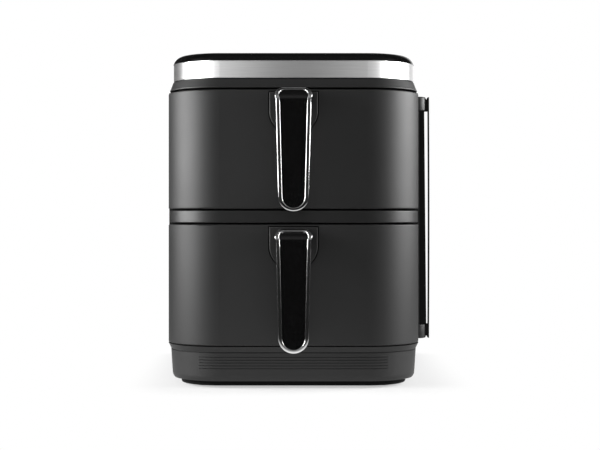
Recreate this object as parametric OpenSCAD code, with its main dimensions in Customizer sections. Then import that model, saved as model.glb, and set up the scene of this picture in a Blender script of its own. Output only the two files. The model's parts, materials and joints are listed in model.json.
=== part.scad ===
// Double-deck air fryer: two drawers, one above the other, in one rounded case.
// Millimetres, +Z up, and the drawers pull out towards -Y.
// The origin is on the worktop, at the middle of the whole object's footprint box.

/* [Case] */
// Width across the drawer fronts and the side panels
case_w = 290; // [282:1:300]
// Depth from the drawer fronts to the rear panel
case_d = 360; // [352:1:380]
// Radius of the upright corners
corner_r = 62; // [58:0.5:62]
// Thickness of the moulded plastic walls
wall = 3; // [2.6:0.1:3.4]
// How far a drawer front wraps back along the sides
front_wrap = 65; // [65:0.5:68]

/* [Heights, from the worktop up] */
// Feet below the undertray
foot_stand = 2; // [1.5:0.1:3]
// Black undertray
tray_h = 6; // [4.5:0.1:6.5]
// Tapered base
base_h = 31.9; // [29:0.1:34]
// Shadow line over the base
base_seam = 1; // [0.8:0.1:1.5]
// Sloped sill between the base and the lower drawer
sill_h = 6.2; // [5.5:0.1:8]
// Clear gap under the lower drawer front
sill_seam = 0.8; // [0.8:0.1:1.4]
// Lower drawer front
lower_front_h = 136; // [134:0.5:140]
// Upper drawer front
upper_front_h = 133.6; // [132:0.1:140]
// Fixed band between the two drawer fronts
band_h = 13.8; // [12:0.1:16]
// Clear gap above and below each drawer front
seam = 1.8; // [1.4:0.1:2.2]
// Upright lip of the neck
lip_h = 2.4; // [2:0.1:3]
// Sloped part of the neck
neck_h = 7.8; // [7:0.1:9]
// Shadow line under the steel band
neck_seam = 1.4; // [1:0.1:2]
// Steel band
steel_h = 19.6; // [18:0.1:21]
// Gloss cap over the steel band
cap_h = 9.4; // [8.6:0.1:10.4]

/* [Trim] */
// How far the cap and the steel band stand in from the case outline
top_inset = 6; // [5:0.5:7]
// Domed edge of the cap
cap_edge_r = 12.5; // [11.5:0.5:13]
// How far the top of the base stands in from the case outline
base_inset = 3; // [2.5:0.5:4]
// Radius at which the base's lower edge turns under
base_turn_r = 10; // [8:0.5:12]
// Sheet of the steel band
steel_t = 1.4; // [1:0.1:1.5]
// Small rounded edges of the drawer fronts
edge_r = 1.6; // [1:0.1:2]

/* [Handle] */
// Length of a handle
handle_len = 135.5; // [130:0.5:140]
// Width at its shoulders
handle_top_w = 40.4; // [38.8:0.2:42]
// Width where the bend ends and the grip begins
handle_waist_w = 38.4; // [36:0.2:38.8]
// Width of its round lower end
handle_end_w = 33; // [30:0.5:35]
// Radius of its upper corners
handle_corner_r = 9; // [7:0.5:10]
// How far it stands out from the drawer front
handle_reach = 45; // [40:1:50]
// Thickness of the grip from front to back
grip_t = 16; // [14:0.5:18]
// Height of the arm that carries the grip
arm_h = 15; // [13:0.5:17]
// Radius of the outer bend from the arm into the grip
bend_r = 13; // [11:0.5:14]
// Width of the chrome frame round the grip's face
ring_w = 4.3; // [3.5:0.1:5]
// Depth of the chrome frame
ring_t = 4.5; // [4:0.1:5]
// How far the glossy inlay lies behind the chrome
inlay_drop = 0.9; // [0.5:0.1:1.2]

/* [Drawers] */
// Outside width of a basket
basket_w = 248; // [240:1:250]
// Height of a basket
basket_h = 112; // [100:1:114]
// Sheet of a basket
basket_t = 1.2; // [1:0.1:1.6]
// Radius of a basket's upright corners
basket_r = 22; // [16:1:26]
// How high a crisper plate stands over the basket's floor
plate_lift = 9; // [7:0.5:12]

/* [Side guard] */
// How far the guard strip stands out from the right side panel
guard_reach = 15; // [14:0.5:18]
// Distance of the guard behind the drawer fronts
guard_back = 82; // [82:1:90]

/* [Hidden] */
$fn = 72;

// Finishes
housing_tint = [0.23, 0.23, 0.235];
black_tint = [0.05, 0.05, 0.055];
gloss_tint = [0.02, 0.02, 0.02];
chrome_tint = [0.85, 0.85, 0.86];
steel_tint = [0.72, 0.72, 0.73];
coated_tint = [0.12, 0.12, 0.12];
board_tint = [0.05, 0.30, 0.14];

// Heights
base_z = foot_stand + tray_h;
base_top = base_z + base_h;
sill_z = base_top + base_seam;
sill_top = sill_z + sill_h;
lower_z = sill_top + sill_seam;
band_z = lower_z + lower_front_h + seam;
upper_z = band_z + band_h + seam;
neck_z = upper_z + upper_front_h + seam;
lip_top = neck_z + lip_h;
neck_top = lip_top + neck_h;
steel_z = neck_top + neck_seam;
cap_z = steel_z + steel_h;
total_h = cap_z + cap_h;

// Plan of the case about its own centre
span_x = case_w / 2 - corner_r;
span_y = case_d / 2 - corner_r;
front_y = -case_d / 2;
rear_y = case_d / 2;
rear_hood = 12;
case_x = -guard_reach / 2;
case_y = (handle_reach - rear_hood) / 2;

// Inside, from front to back
wrap_y = front_y + front_wrap;
bezel_y = wrap_y + 1;
side_y = bezel_y + 0.2;
bezel_t = 3;
cavity_y = bezel_y + bezel_t;
bulkhead_y = 129;
bulkhead_t = 1.2;
guard_y = 92;
sheet = 0.8;
cavity_w = 264;
basket_back = 84;
rim_w = 4;
runner_h = 2;
slide_gap = 0.4;
cavity_drop = 4;

// Fans and heating rings
shaft_r = 3;
run_gap = 0.05;
fan_r = 40;
blade_t = 1.2;
ring_wire_r = 3.3;
element_r = 56;
ring_step = 9;
element_y = 110;

// Handle seats on the drawer fronts
root_half_w = 27;
root_h = 47;
root_corner_r = 25;
root_sink = 2;
root_proud = 1.2;
root_groove = 1.2;
upper_handle_z = upper_z + upper_front_h - 1.3;
lower_handle_z = lower_z + lower_front_h - 4;

// Guard on the right side
guard_low = sill_top + 3;
guard_high = neck_z - 3.6;
bracket_h = 16.4;
bracket_reach = 9.5;
strip_t = 1.8;
clip_notch = 3.5;

// Moves from the case's centre to the footprint box's centre.
module at_case() {
    translate([case_x, case_y, 0]) children();
}

// Runs a section round the case. The section's x counts outwards from the corner axes.
module run_round() {
    for (k = [0:3]) {
        out = k % 2 == 0 ? span_x : span_y;
        along = k % 2 == 0 ? span_y : span_x;
        rotate([0, 0, 90 * k])
            translate([out, along, 0]) {
                rotate_extrude(angle = 90) children();
                rotate([90, 0, 0]) linear_extrude(2 * along) children();
            }
    }
}

// Fills the middle between the corner axes.
module core(z0, z1) {
    translate([-span_x, -span_y, z0]) cube([2 * span_x, 2 * span_y, z1 - z0]);
}

// Section of a slab, with rounded upper and lower edges.
module edge_section(reach, z0, z1, top_r, foot_r) {
    intersection() {
        union() {
            translate([0, z0 + foot_r]) square([reach, z1 - z0 - top_r - foot_r]);
            translate([0, z0]) square([reach - foot_r, z1 - z0 - top_r]);
            translate([0, z0 + foot_r]) square([reach - top_r, z1 - z0 - foot_r]);
            if (top_r > 0) translate([reach - top_r, z1 - top_r]) circle(top_r);
            if (foot_r > 0) translate([reach - foot_r, z0 + foot_r]) circle(foot_r);
        }
        translate([0, z0]) square([reach, z1 - z0]);
    }
}

// A slab with the case's plan, drawn in by inset.
module slab(inset, z0, z1, top_r = 0, foot_r = 0) {
    run_round() edge_section(corner_r - inset, z0, z1, top_r, foot_r);
    core(z0, z1);
}

// The case's plan as a flat outline, drawn in by inset.
module plan(inset) {
    for (x = [-1, 1], y = [-1, 1])
        translate([x * span_x, y * span_y]) circle(corner_r - inset);
    square([case_w - 2 * inset, 2 * span_y], center = true);
    square([2 * span_x, case_d - 2 * inset], center = true);
}

// A flat rectangle with round corners, about its centre.
module round_rect(w, d, r) {
    for (x = [-1, 1], y = [-1, 1])
        translate([x * (w / 2 - r), y * (d / 2 - r)]) circle(r);
    square([w, d - 2 * r], center = true);
    square([w - 2 * r, d], center = true);
}

// A box from one corner to the opposite one.
module box(low, high) {
    translate(low) cube(high - low);
}

// A rod along Y.
module rod_y(x, y0, y1, z, r) {
    translate([x, y0, z]) rotate([-90, 0, 0]) cylinder(r = r, h = y1 - y0);
}

// Turns a flat outline in X and Z into a solid that reaches from y = 0 towards -Y.
module towards_front(depth) {
    rotate([90, 0, 0]) linear_extrude(depth) children();
}

// Turns a flat outline in Y and Z into a solid across X, about x = 0.
module across(width) {
    rotate([90, 0, 90]) translate([0, 0, -width / 2]) linear_extrude(width) children();
}

// ---- Base ----

foot_r = 12;
foot_x = 100;
foot_y = 135;

module rubber_feet() at_case() color(black_tint) {
    for (x = [-foot_x, foot_x], y = [-foot_y, foot_y])
        translate([x, y, 0]) {
            cylinder(r1 = foot_r - 1, r2 = foot_r, h = 1);
            translate([0, 0, 1]) cylinder(r = foot_r, h = foot_stand + 1);
        }
}

// The base's section: how far it leans in, and where its lower edge turns under
base_lean = 1.6;
base_turn = 40;
base_turn_z = base_turn_r * sin(base_turn);
base_low = corner_r - base_inset - base_lean;
base_foot = base_low - base_turn_r * (1 - cos(base_turn));

tray_inset = 15;
board_post_h = 6;
power_board_w = 150;
power_board_d = 96;

module undertray() at_case() color(black_tint) {
    difference() {
        slab(tray_inset, foot_stand, base_z, 0, 1.5);
        for (x = [-foot_x, foot_x], y = [-foot_y, foot_y])
            translate([x, y, foot_stand - 1]) cylinder(r = foot_r + 0.1, h = 3);
        for (row = [-3:3])
            translate([0, row * 12 - 95, 0]) linear_extrude(20) round_rect(90, 4, 1.9);
    }
    for (x = [-1, 1], y = [-1, 1])
        translate([x * (power_board_w / 2 - 6), y * (power_board_d / 2 - 6) + 20, base_z])
            cylinder(r = 3.5, h = board_post_h);
}

function base_reach(z) = corner_r - base_inset - base_lean * (base_top - z) / (base_h - base_turn_z);

// The base leans in a little, then turns under to its foot.
module base_section() {
    top_reach = corner_r - base_inset;
    turn_z = base_z + base_turn_z;
    difference() {
        union() {
            polygon([[0, base_z], [base_foot, base_z], [base_low, turn_z],
                [top_reach, base_top], [0, base_top]]);
            intersection() {
                translate([base_low - base_turn_r, turn_z]) circle(base_turn_r);
                translate([0, base_z]) square([corner_r, base_h]);
            }
        }
        polygon([[-1, base_z + wall], [base_foot - 1, base_z + wall], [base_low - wall, turn_z],
            [top_reach - wall, base_top - wall], [-1, base_top - wall]]);
        translate([-1, base_z - 1]) square([base_foot - 9, wall + 2]);
    }
}

groove_w = 212;
groove_rows = 5;
groove_pitch = 3.2;
groove_h = 0.7;
groove_depth = 1.1;
groove_z = 14.1;

module base_housing() at_case() color(housing_tint) {
    difference() {
        union() {
            run_round() base_section();
            core(base_top - wall, base_top);
        }
        for (row = [0:groove_rows - 1]) {
            z = base_z + groove_z + row * groove_pitch;
            intersection() {
                run_round() translate([base_reach(z) - groove_depth, z]) square([2 * groove_depth, groove_h]);
                box([-groove_w / 2, -case_d, 0], [groove_w / 2, -span_y, total_h]);
            }
        }
    }
}

module sill_section() {
    foot = corner_r - base_inset;
    polygon([[0, sill_top - 2.6], [foot - 4, sill_top - 2.6], [foot - 4, base_top], [foot - 1.5, base_top],
        [foot - 1.5, sill_z], [foot, sill_z], [corner_r, sill_top], [0, sill_top]]);
}

module sill_frame() at_case() color(housing_tint) {
    run_round() sill_section();
    core(sill_top - 2.6, sill_top);
}

// ---- Walls ----

lip_x = span_x - 10;
screw_x = span_x - 5;
screw_heights = [sill_top + 16, (sill_top + neck_z) / 2, neck_z - 16];

// The right side's wall, from behind the drawer fronts round to the rear cover.
module side_wall() {
    difference() {
        union() {
            translate([0, 0, sill_top]) linear_extrude(neck_z - sill_top)
                intersection() {
                    difference() {
                        plan(0);
                        plan(wall);
                    }
                    translate([span_x + 0.2, side_y]) square([corner_r + 1, case_d]);
                }
            box([lip_x, rear_y - 2 * wall, sill_top], [span_x + 4, rear_y - wall, neck_z]);
        }
        for (z = screw_heights) rod_y(screw_x, rear_y - 20, rear_y + 5, z, 1.6);
    }
}

module left_side_panel() at_case() color(housing_tint) {
    mirror([1, 0, 0]) side_wall();
}

grille_half_d = 9;
grille_low = guard_low + bracket_h + 0.3;
grille_high = guard_high - bracket_h - 0.3;
rail_w = 3;
rail_h = 2.2;

// The grille stands between two raised rails of the panel.
module right_side_panel() at_case() color(housing_tint) {
    x = case_w / 2;
    y = front_y + guard_back;
    half = grille_half_d + rail_w;
    seat = grille_half_d + 0.05;
    difference() {
        union() {
            side_wall();
            box([x - 1, y - half, grille_low], [x + rail_h, y + half, grille_high]);
        }
        box([x, y - seat, grille_low - 1], [x + rail_h + 1, y + seat, grille_high + 1]);
        box([x - 10, y - 5, grille_low + 6], [x + 5, y + 5, grille_high - 6]);
    }
}

mouth_w = 262;
band_inset = 0.6;

// Opening in the bezel for one basket.
module basket_mouth(z0, h) {
    translate([0, cavity_y + 1, z0 + h / 2 + 1]) towards_front(bezel_t + 2)
        round_rect(mouth_w, h - 8.5, 8);
}

module front_bezel() at_case() color(housing_tint) {
    difference() {
        union() {
            box([-case_w / 2 + wall + 0.3, bezel_y, sill_top], [case_w / 2 - wall - 0.3, cavity_y, neck_z]);
            difference() {
                intersection() {
                    slab(band_inset, band_z, band_z + band_h, 1, 1);
                    box([-case_w, -case_d, 0], [case_w, bezel_y, total_h]);
                }
                slab(wall, band_z + 2.4, band_z + band_h - 2.4);
            }
        }
        basket_mouth(lower_z, lower_front_h);
        basket_mouth(upper_z, upper_front_h);
    }
}

// ---- Top ----

neck_step = 1.6;
neck_inset = 5.2;

module neck_section() {
    foot = corner_r - neck_step;
    crest = corner_r - neck_inset;
    difference() {
        union() {
            edge_section(foot, neck_z, lip_top, 1, 1);
            polygon([[0, lip_top - 1], [foot - 0.3, lip_top - 1], [crest, neck_top], [0, neck_top]]);
        }
        translate([-1, neck_z + 3]) square([crest - 2.2, neck_h + lip_h]);
    }
}

module neck_ring() at_case() color(housing_tint) {
    run_round() neck_section();
    core(neck_z, neck_z + 3);
}

module top_frame_section() {
    seat = corner_r - top_inset - steel_t - 0.1;
    polygon([[0, neck_top], [seat - 1.5, neck_top], [seat - 1.5, steel_z + 0.2], [seat, steel_z + 0.2],
        [seat, cap_z], [seat - wall, cap_z], [seat - wall, neck_top + wall], [0, neck_top + wall]]);
}

control_board_w = 180;
control_board_d = 90;
control_board_z = cap_z - 9;
control_y = -97;

module top_frame() at_case() color(black_tint) {
    run_round() top_frame_section();
    core(neck_top, neck_top + wall);
    post_x = control_board_w / 2 - 5;
    post_y = control_board_d / 2 - 5;
    for (x = [-post_x, post_x], y = [-post_y, post_y])
        translate([x, y + control_y, neck_top + wall])
            cylinder(r = 3.5, h = control_board_z - neck_top - wall);
}

module steel_band() at_case() color(steel_tint) {
    reach = corner_r - top_inset;
    run_round() difference() {
        edge_section(reach, steel_z, cap_z, 0.6, 0.3);
        translate([-1, steel_z - 1]) square([reach - steel_t + 1, steel_h + 2]);
    }
}

glass_w = 220;
glass_d = 120;
glass_t = 1.6;
glass_r = 14;

cap_over = 0.8;

// The cap's edge is one large arc, which the steel band cuts off just above its widest point.
module cap_section() {
    reach = corner_r - top_inset + cap_over;
    intersection() {
        union() {
            translate([reach - cap_edge_r, total_h - cap_edge_r]) circle(cap_edge_r);
            translate([0, cap_z]) square([reach - cap_edge_r, cap_h]);
        }
        translate([0, cap_z]) square([reach, cap_h]);
    }
}

module top_cap() at_case() color(gloss_tint) {
    difference() {
        union() {
            run_round() cap_section();
            core(cap_z, total_h);
        }
        translate([0, 0, cap_z - 1]) linear_extrude(cap_h - 2.4) plan(top_inset + 6);
        translate([0, control_y, total_h - glass_t]) linear_extrude(glass_t + 1)
            round_rect(glass_w + 0.6, glass_d + 0.6, glass_r + 0.3);
    }
}

module control_glass() at_case() color(gloss_tint) {
    translate([0, control_y, total_h - glass_t]) linear_extrude(glass_t)
        round_rect(glass_w, glass_d, glass_r);
}

module control_board() at_case() color(board_tint) {
    translate([0, control_y, control_board_z]) {
        linear_extrude(1.6) round_rect(control_board_w, control_board_d, 3);
        for (x = [-60, 0, 60]) translate([x - 14, -12, 1.6]) cube([28, 24, 3]);
        for (x = [-75:15:75]) translate([x, 34, 1.6]) cylinder(r = 3, h = 2.4);
    }
}

module power_board() at_case() color(board_tint) {
    z = base_z + board_post_h;
    translate([0, 20, z]) {
        linear_extrude(1.6) round_rect(power_board_w, power_board_d, 3);
        translate([-62, -34, 1.6]) cube([34, 28, 12]);
        for (x = [-14, 10, 34]) translate([x, -36, 1.6]) cube([18, 24, 11]);
        for (x = [-52, -32, 0]) translate([x, 24, 1.6]) cylinder(r = 7, h = 12);
        translate([24, 6, 1.6]) cube([34, 20, 8]);
    }
}

// ---- Rear ----

function fan_z(z0, h) = z0 + h / 2 + 1;
upper_fan_z = fan_z(upper_z, upper_front_h);
lower_fan_z = fan_z(lower_z, lower_front_h);

module rear_bulkhead() at_case() color(steel_tint) {
    inner_x = case_w / 2 - wall - 2;
    difference() {
        box([-inner_x, bulkhead_y, sill_top], [inner_x, bulkhead_y + bulkhead_t, neck_z]);
        for (z = [upper_fan_z, lower_fan_z]) {
            rod_y(0, bulkhead_y - 1, bulkhead_y + 5, z, shaft_r + 2);
            for (x = [-8, 8])
                rod_y(x, bulkhead_y - 1, bulkhead_y + 5, z + element_r, ring_wire_r + run_gap);
        }
        for (x = [-120, 120], z = [upper_fan_z, lower_fan_z])
            translate([x, bulkhead_y + 5, z]) towards_front(10) round_rect(14, 70, 6);
    }
}

hood_half_w = 70;
hood_low = sill_top + 34;
hood_high = neck_z - 14;
gland_x = -60;
gland_z = sill_top + 17;
gland_r = 8;

// Plan of the rear hood: a low box with sloped sides, from foot to proud along Y.
module hood_plan(half, foot, proud) {
    polygon([[-half, foot], [-half, rear_y], [-half + rear_hood, proud],
        [half - rear_hood, proud], [half, rear_y], [half, foot]]);
}

module rear_cover() at_case() color(housing_tint) {
    rows = 9;
    pitch = 7.5;
    hood_y = rear_y + rear_hood;
    difference() {
        union() {
            box([-span_x + 0.2, rear_y - wall, sill_top], [span_x - 0.2, rear_y, neck_z]);
            translate([0, 0, hood_low]) linear_extrude(hood_high - hood_low)
                hood_plan(hood_half_w, rear_y - 2, hood_y);
        }
        translate([0, 0, hood_low + wall]) linear_extrude(hood_high - hood_low - 2 * wall)
            hood_plan(hood_half_w - wall, rear_y - 10, hood_y - wall);
        for (z = [upper_fan_z, lower_fan_z], row = [0:rows - 1], x = [-29, 29])
            translate([x, rear_y + 30, z + (row - (rows - 1) / 2) * pitch])
                towards_front(40) round_rect(50, 3.6, 1.7);
        for (x = [-screw_x, screw_x], z = screw_heights) rod_y(x, rear_y - 10, rear_y + 5, z, 1.7);
        rod_y(gland_x, rear_y - 10, rear_y + 5, gland_z, gland_r + 0.1);
    }
}

module rear_cover_screws() at_case() color(steel_tint) {
    for (x = [-screw_x, screw_x], z = screw_heights) {
        rod_y(x, rear_y - 2 * wall - 3, rear_y, z, 1.5);
        difference() {
            rod_y(x, rear_y, rear_y + 2.2, z, 3.4);
            box([x - 2.4, rear_y + 1.2, z - 0.5], [x + 2.4, rear_y + 3, z + 0.5]);
            box([x - 0.5, rear_y + 1.2, z - 2.4], [x + 0.5, rear_y + 3, z + 2.4]);
        }
    }
}

module cord_gland() at_case() color(black_tint) {
    difference() {
        union() {
            rod_y(gland_x, rear_y - wall - 4, rear_y, gland_z, gland_r);
            rod_y(gland_x, rear_y, rear_y + 3, gland_z, gland_r + 3);
            rod_y(gland_x, rear_y + 3, rear_y + 6, gland_z, gland_r - 1);
        }
        rod_y(gland_x, rear_y - wall - 6, rear_y + 8, gland_z, 3.7);
    }
}

// ---- Cavities, heat and air ----

function cavity_low(z0) = z0 + cavity_drop;
function cavity_high(z0, h) = z0 + h - 2;
function basket_low(z0) = cavity_low(z0) + sheet + runner_h + slide_gap;

module cavity(z0, h) {
    low = cavity_low(z0);
    high = cavity_high(z0, h);
    half = cavity_w / 2;
    zc = fan_z(z0, h);
    difference() {
        box([-half, cavity_y, low], [half, bulkhead_y, high]);
        box([-half + sheet, cavity_y - 1, low + sheet], [half - sheet, bulkhead_y - sheet, high - sheet]);
        rod_y(0, bulkhead_y - 5, bulkhead_y + 1, zc, shaft_r + 2);
        for (x = [-8, 8]) rod_y(x, bulkhead_y - 5, bulkhead_y + 1, zc + element_r, ring_wire_r + run_gap);
        translate([-half - 1, 60, high - 7]) rotate([0, 90, 0]) cylinder(r = 2.1, h = 5);
    }
    for (x = [-100, 100])
        box([x - 4, cavity_y + 2, low + sheet], [x + 4, guard_y - 2, low + sheet + runner_h]);
}

module fan_guard(z0, h) {
    low = cavity_low(z0) + sheet + 0.1;
    high = cavity_high(z0, h) - sheet - 0.1;
    half = cavity_w / 2 - sheet - 0.1;
    back = bulkhead_y - sheet;
    zc = fan_z(z0, h);
    difference() {
        box([-half, guard_y, low], [half, back, high]);
        box([-half + 1, guard_y + 1, low + 1], [half - 1, back + 1, high - 1]);
        for (ring = [1:3], n = [0:6 * ring - 1])
            translate([12 * ring * cos(n * 60 / ring), 0, 12 * ring * sin(n * 60 / ring)])
                rod_y(0, guard_y - 1, guard_y + 3, zc, 3.4);
        for (side = [-1, 1], k = [0:4])
            translate([side * (74 + 10 * k), guard_y + 3, zc]) towards_front(5) round_rect(4.5, 82, 2.2);
    }
}

module element(zc) {
    for (r = [element_r, element_r - ring_step])
        translate([0, element_y, zc]) rotate([90, 0, 0])
            rotate_extrude() translate([r, 0]) circle(ring_wire_r);
    box([-2, element_y - 2, zc - element_r], [2, element_y + 2, zc - element_r + ring_step]);
    for (x = [-8, 8]) {
        rod_y(x, element_y, bulkhead_y + 12, zc + element_r, ring_wire_r);
        rod_y(x, bulkhead_y + bulkhead_t, bulkhead_y + bulkhead_t + 2, zc + element_r, 6.5);
    }
}

// One blade of a fan, turned about the shaft.
module blades(count, r0, r1, y0, y1, zc) {
    for (n = [0:count - 1])
        translate([0, 0, zc]) rotate([0, n * 360 / count, 0])
            box([r0, y0, -blade_t / 2], [r1, y1, blade_t / 2]);
}

module convection_fan(zc) {
    difference() {
        union() {
            rod_y(0, 99, 121.5, zc, 7);
            rod_y(0, 120, 121.5, zc, fan_r);
            blades(10, 6, fan_r - 1, 102, 120.5, zc);
        }
        rod_y(0, 90, 130, zc, shaft_r + 0.02);
    }
}

module cooling_fan(zc) {
    difference() {
        union() {
            rod_y(0, 158, 170, zc, 6);
            rod_y(0, 158, 159.5, zc, 34);
            blades(8, 5, 33, 159, 168, zc);
        }
        rod_y(0, 150, 175, zc, shaft_r + 0.02);
    }
}

module motor_shaft(zc) {
    rod_y(0, 97, 172, zc, shaft_r);
}

module motor(zc) {
    y0 = bulkhead_y + bulkhead_t;
    difference() {
        union() {
            translate([0, y0 + 2, zc]) towards_front(2) round_rect(84, 64, 8);
            rod_y(0, y0 + 1, y0 + 21, zc, 27);
            rod_y(0, y0 + 20, y0 + 24, zc, 9);
        }
        rod_y(0, y0 - 1, y0 + 30, zc, shaft_r + run_gap);
        for (x = [-36, 36], z = [-26, 26]) rod_y(x, y0 - 1, y0 + 5, zc + z, 2);
    }
}

module upper_cavity() at_case() color(steel_tint) cavity(upper_z, upper_front_h);
module lower_cavity() at_case() color(steel_tint) cavity(lower_z, lower_front_h);
module upper_fan_guard() at_case() color(steel_tint) fan_guard(upper_z, upper_front_h);
module lower_fan_guard() at_case() color(steel_tint) fan_guard(lower_z, lower_front_h);
module upper_element() at_case() color(coated_tint) element(upper_fan_z);
module lower_element() at_case() color(coated_tint) element(lower_fan_z);
module upper_motor() at_case() color(steel_tint) motor(upper_fan_z);
module lower_motor() at_case() color(steel_tint) motor(lower_fan_z);
module upper_fan() at_case() color(steel_tint) convection_fan(upper_fan_z);
module lower_fan() at_case() color(steel_tint) convection_fan(lower_fan_z);
module upper_motor_shaft() at_case() color(steel_tint) motor_shaft(upper_fan_z);
module lower_motor_shaft() at_case() color(steel_tint) motor_shaft(lower_fan_z);
module upper_cooling_fan() at_case() color(steel_tint) cooling_fan(upper_fan_z);
module lower_cooling_fan() at_case() color(steel_tint) cooling_fan(lower_fan_z);

module temperature_sensors() at_case() color(steel_tint) {
    for (z = [cavity_high(lower_z, lower_front_h), cavity_high(upper_z, upper_front_h)])
        translate([-cavity_w / 2, 60, z - 7]) rotate([0, 90, 0]) {
            cylinder(r = 2, h = 9);
            translate([0, 0, -3]) cylinder(r = 4.5, h = 3);
        }
}

module drawer_sensors() at_case() color(black_tint) {
    for (z = [lower_z + lower_front_h - 30, upper_z + upper_front_h - 30])
        box([cavity_w / 2 + 1, cavity_y, z], [cavity_w / 2 + 8, cavity_y + 12, z + 20]);
}

// ---- Side guard ----

module at_guard() {
    translate([case_w / 2, front_y + guard_back, 0]) children();
}

// Outline of the outlet grille seen from the front: a little thicker at its foot.
module grille_outline(skin) {
    polygon([[-1 + skin, grille_low + skin], [10.7 - skin, grille_low + skin],
        [8.3 - skin, grille_high - skin], [-1 + skin, grille_high - skin]]);
}

module outlet_grille() at_case() at_guard() color(black_tint) {
    louvres = 22;
    pitch = (grille_high - grille_low - 12) / louvres;
    difference() {
        translate([0, grille_half_d, 0]) towards_front(2 * grille_half_d)
            intersection() {
                grille_outline(0);
                translate([0, grille_low]) square([20, grille_high - grille_low]);
            }
        translate([-1.5, grille_half_d - 2, 0]) towards_front(2 * grille_half_d - 4) grille_outline(1.6);
        for (n = [0:louvres - 1])
            translate([4, -grille_half_d + 3, grille_low + 6 + (n + 0.25) * pitch])
                cube([10, 2 * grille_half_d - 6, pitch * 0.5]);
    }
}

module bracket_block(z0) {
    half = 12;
    nose = bracket_reach / 2;
    translate([0, 0, z0]) linear_extrude(bracket_h) {
        translate([0, -half]) square([bracket_reach - nose, 2 * half]);
        translate([0, -half + nose]) square([bracket_reach, 2 * half - 2 * nose]);
        for (y = [-1, 1]) translate([bracket_reach - nose, y * (half - nose)]) circle(nose);
    }
}

// A clip seen from the front, with a notch in its outer end.
module clip_block(z0, notch_up) {
    inner = bracket_reach;
    outer = guard_reach - strip_t;
    mid = (inner + outer) / 2;
    z1 = z0 + bracket_h;
    foot = notch_up ? z0 : z1;
    tip = notch_up ? z1 : z0;
    notch = notch_up ? z1 - clip_notch : z0 + clip_notch;
    translate([0, 5, 0]) towards_front(10)
        polygon([[inner, foot], [outer, foot], [outer, tip], [mid, notch], [inner, tip]]);
}

module upper_bracket() at_case() at_guard() color(housing_tint) bracket_block(guard_high - bracket_h);
module lower_bracket() at_case() at_guard() color(housing_tint) bracket_block(guard_low);
module upper_clip() at_case() at_guard() color(black_tint) clip_block(guard_high - bracket_h, true);
module lower_clip() at_case() at_guard() color(black_tint) clip_block(guard_low, false);

module guard_strip() at_case() at_guard() color(black_tint) {
    box([guard_reach - strip_t, -4, guard_low], [guard_reach, 4, guard_high]);
}

// ---- Drawers ----

// Outline of the handle's seat, hanging from z = 0.
module root_outline(grow) {
    half = root_half_w + grow;
    r = root_corner_r + grow;
    intersection() {
        union() {
            for (x = [-1, 1]) translate([x * (half - r), root_corner_r - root_h]) circle(r);
            translate([-half, root_corner_r - root_h]) square([2 * half, root_h]);
            translate([r - half, -root_h - grow]) square([2 * (half - r), r]);
        }
        translate([-half, -root_h - grow]) square([2 * half, root_h + 2 * grow]);
    }
}

module at_root(z0, h) {
    translate([0, front_y, z0 + h - edge_r - root_groove]) children();
}

handle_screw_x = 9;
handle_screw_drop = 7.5;

module handle_screw_holes(handle_z, r) {
    for (x = [-handle_screw_x, handle_screw_x])
        rod_y(x, front_y - 16, front_y + 6, handle_z - handle_screw_drop, r);
}

module drawer_front(z0, h, handle_z) {
    difference() {
        intersection() {
            slab(0, z0, z0 + h, edge_r, edge_r);
            box([-case_w, -case_d, 0], [case_w, wrap_y, total_h]);
        }
        slab(wall, z0 + wall, z0 + h - wall);
        at_root(z0, h) translate([0, root_sink, 0]) towards_front(10) root_outline(root_groove);
        handle_screw_holes(handle_z, 2.2);
    }
}

module drawer_back(z0, h) {
    half = case_w / 2 - wall - 0.2;
    box([-half, wrap_y - wall, z0 + wall + 0.1], [half, wrap_y, z0 + h - wall - 0.1]);
}

module basket_plan(inset) {
    depth = basket_back - wrap_y;
    translate([0, (basket_back + wrap_y) / 2])
        round_rect(basket_w - 2 * inset, depth - 2 * inset, basket_r - inset);
}

module basket(z0) {
    low = basket_low(z0);
    difference() {
        union() {
            translate([0, 0, low]) linear_extrude(basket_h) basket_plan(0);
            translate([0, 0, low + basket_h - basket_t]) linear_extrude(basket_t)
                intersection() {
                    basket_plan(-rim_w);
                    translate([-case_w, wrap_y]) square([2 * case_w, case_d]);
                }
        }
        translate([0, 0, low + basket_t]) linear_extrude(basket_h) basket_plan(basket_t);
    }
}

plate_gap = 4;
plate_t = 1.6;

module crisper_plate(z0) {
    low = basket_low(z0) + basket_t + plate_lift;
    depth = basket_back - wrap_y;
    yc = (basket_back + wrap_y) / 2;
    pitch_x = 26;
    pitch_y = 28;
    leg_x = basket_w / 2 - 28;
    leg_y = depth / 2 - 28;
    difference() {
        translate([0, 0, low]) linear_extrude(plate_t) basket_plan(basket_t + plate_gap);
        for (col = [-3.5:3.5], row = [-2.5:2.5])
            translate([col * pitch_x, row * pitch_y + yc, low - 1]) cylinder(r = 4, h = 4);
        translate([0, yc, low - 1]) cylinder(r = 9, h = 4);
    }
    for (x = [-leg_x, leg_x], y = [-leg_y, leg_y])
        translate([x, y + yc, low - plate_lift]) cylinder(r = 4, h = plate_lift);
}

bumper_w = 18;

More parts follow.
